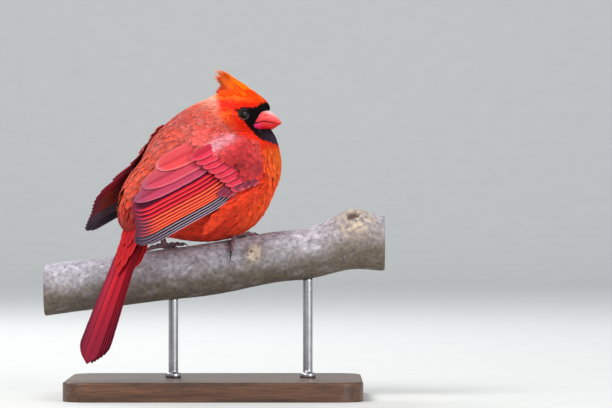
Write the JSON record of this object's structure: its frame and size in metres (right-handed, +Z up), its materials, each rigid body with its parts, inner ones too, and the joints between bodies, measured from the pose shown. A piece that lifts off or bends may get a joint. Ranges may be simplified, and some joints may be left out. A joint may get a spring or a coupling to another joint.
{
  "type": "northern cardinal (male)",
  "caption": "Still, life-size male northern cardinal, puffed up and looking over its right shoulder, on a cut length of branch held by rods on a flat base.",
  "frame": {"origin": "centre of the base's underside", "axes": "+Z up, +X along the branch towards its thicker knotted end and the way that the bill points, -Y towards the viewer who sees the bird's back and right side"},
  "size_m": [0.212, 0.122, 0.2042],
  "materials": {
    "body_plumage": "soft overlapping body feathers, salmon red above and orange red below",
    "head_plumage": "short orange-red feathers with a black mask and bib",
    "wing_feathers": "smooth lapped vanes, crimson with grey-edged slate tips",
    "tail_feathers": "smooth lapped vanes, red with maroon edges",
    "bill": "satin coral-red horn",
    "eye": "wet, nearly black",
    "leg": "scaled, dull brown",
    "bark": "smooth grey bark with specks and two knots",
    "stand_wood": "satin dark hardwood",
    "stand_steel": "plain brushed rods"
  },
  "bodies": {
    "root": {"torso": "body_plumage", "neck": "body_plumage", "head": "head_plumage", "crest": "head_plumage", "bill_upper": "bill", "bill_lower": "bill", "eye_right": "eye", "eye_left": "eye", "wing_right": "wing_feathers", "wing_left": "wing_feathers", "leg_right": "leg", "leg_left": "leg", "tail": "tail_feathers", "perch": "bark", "stand_base": "stand_wood", "stand_rod_left": "stand_steel", "stand_rod_right": "stand_steel"}
  },
  "joints": []
}
